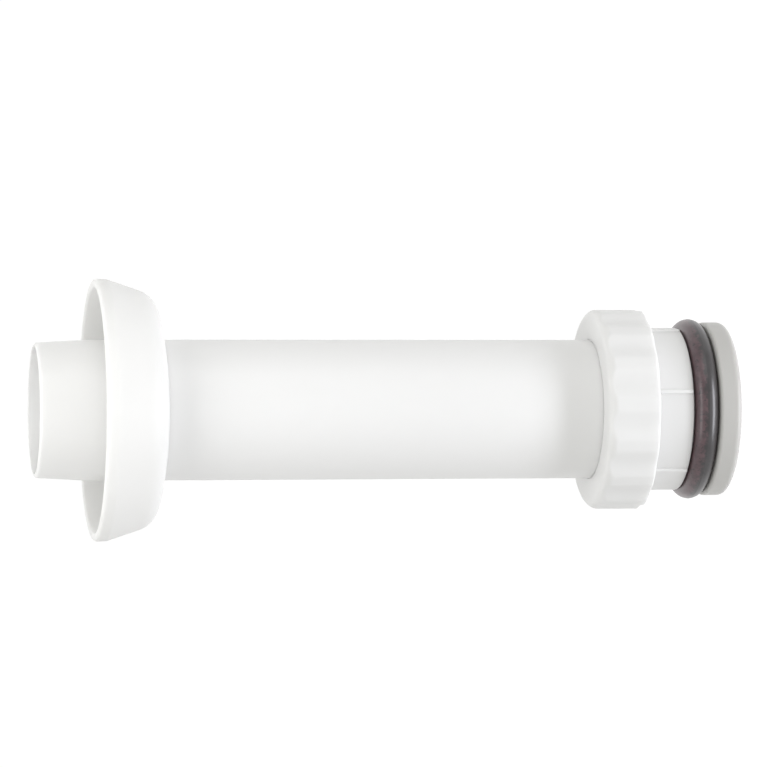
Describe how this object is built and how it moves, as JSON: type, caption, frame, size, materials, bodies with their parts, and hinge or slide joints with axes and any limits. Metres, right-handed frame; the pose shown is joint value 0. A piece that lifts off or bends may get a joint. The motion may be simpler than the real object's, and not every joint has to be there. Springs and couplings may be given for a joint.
{
  "type": "toilet connector pipe",
  "caption": "White flush pipe with a flared soft cup at its pan end, joined by a fluted compression nut to a ribbed spigot with an O-ring and end flange.",
  "frame": {"origin": "centre of the spigot's end face, on which the pipe stands", "axes": "+Z along the pipe from the spigot to the pan stub; X and Y are alike, since the pieces are turned about Z"},
  "size_m": [0.0836, 0.0836, 0.225],
  "materials": {
    "white_plastic": "smooth moulded, soft gloss",
    "white_rubber": "smooth, satin",
    "dark_rubber": "matt, slightly greased",
    "black_rubber": "matt"
  },
  "bodies": {
    "pipe": {"flush_pipe": "white_plastic", "spigot_sleeve": "white_plastic", "o_ring": "dark_rubber", "compression_seal": "black_rubber"},
    "cup": {"pan_cup": "white_rubber"},
    "slip_ring": {"slip_ring": "white_plastic"},
    "nut": {"coupling_nut": "white_plastic"}
  },
  "joints": [
    {"name": "cup_slide", "type": "slide", "parent": "pipe", "child": "cup", "axis": [0, 0, 1], "range_m": [-0.125, 0.015]},
    {"name": "nut_lift", "type": "slide", "parent": "pipe", "child": "slip_ring", "axis": [0, 0, 1], "range_m": [0, 0.0076]},
    {"name": "nut_turn", "type": "hinge", "parent": "slip_ring", "child": "nut", "pos_m": [0, 0, 0.036], "axis": [0, 0, 1], "range_deg": [0, 900]}
  ],
  "couplings": [
    {"joint": "nut_lift", "follows": "nut_turn", "m_per_rad": 0.00047746}
  ]
}
